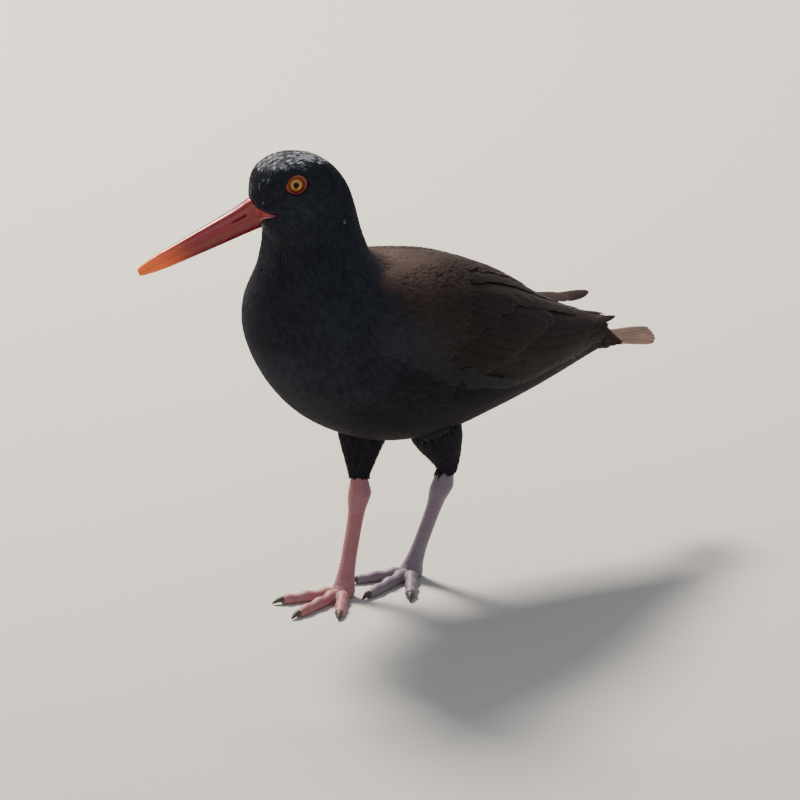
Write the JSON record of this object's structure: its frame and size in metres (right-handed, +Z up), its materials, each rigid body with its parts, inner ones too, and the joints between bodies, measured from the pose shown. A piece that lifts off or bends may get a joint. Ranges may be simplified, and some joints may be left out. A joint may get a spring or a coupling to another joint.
{
  "type": "black oystercatcher",
  "caption": "Still, life-size black oystercatcher wading bird in mid-step, with a long red bill, ringed yellow eyes and pale bare legs, standing on its own toes.",
  "frame": {"origin": "middle of the bird's bounding box in X and Y, on the floor it stands on", "axes": "+X towards the breast and the toes, +Y to the bird's left, +Z up"},
  "size_m": [0.3442, 0.105, 0.2658],
  "materials": {
    "black_feathers": "soft blue-black feather",
    "brown_feathers": "soft dark brown feather",
    "red_bill": "smooth satin horn, red turning orange at the tip",
    "yellow_eye": "wet and glossy",
    "orange_lid": "bare fleshy skin",
    "pale_leg_skin": "matte scaled skin",
    "dark_claw": "dull horn"
  },
  "bodies": {
    "root": {"head": "black_feathers", "neck": "black_feathers", "torso": "black_feathers", "thigh_left": "black_feathers", "thigh_right": "black_feathers", "wing_left": "brown_feathers", "wing_right": "brown_feathers", "tail": "brown_feathers", "upper_bill": "red_bill", "lower_bill": "red_bill", "eye_left": "yellow_eye", "eye_right": "yellow_eye", "eye_ring_left": "orange_lid", "eye_ring_right": "orange_lid", "shank_left": "pale_leg_skin", "shank_right": "pale_leg_skin", "palm_left": "pale_leg_skin", "palm_right": "pale_leg_skin", "toe_left_inner": "pale_leg_skin", "toe_left_middle": "pale_leg_skin", "toe_left_outer": "pale_leg_skin", "toe_right_inner": "pale_leg_skin", "toe_right_middle": "pale_leg_skin", "toe_right_outer": "pale_leg_skin", "claw_left_inner": "dark_claw", "claw_left_middle": "dark_claw", "claw_left_outer": "dark_claw", "claw_right_inner": "dark_claw", "claw_right_middle": "dark_claw", "claw_right_outer": "dark_claw"}
  },
  "joints": []
}
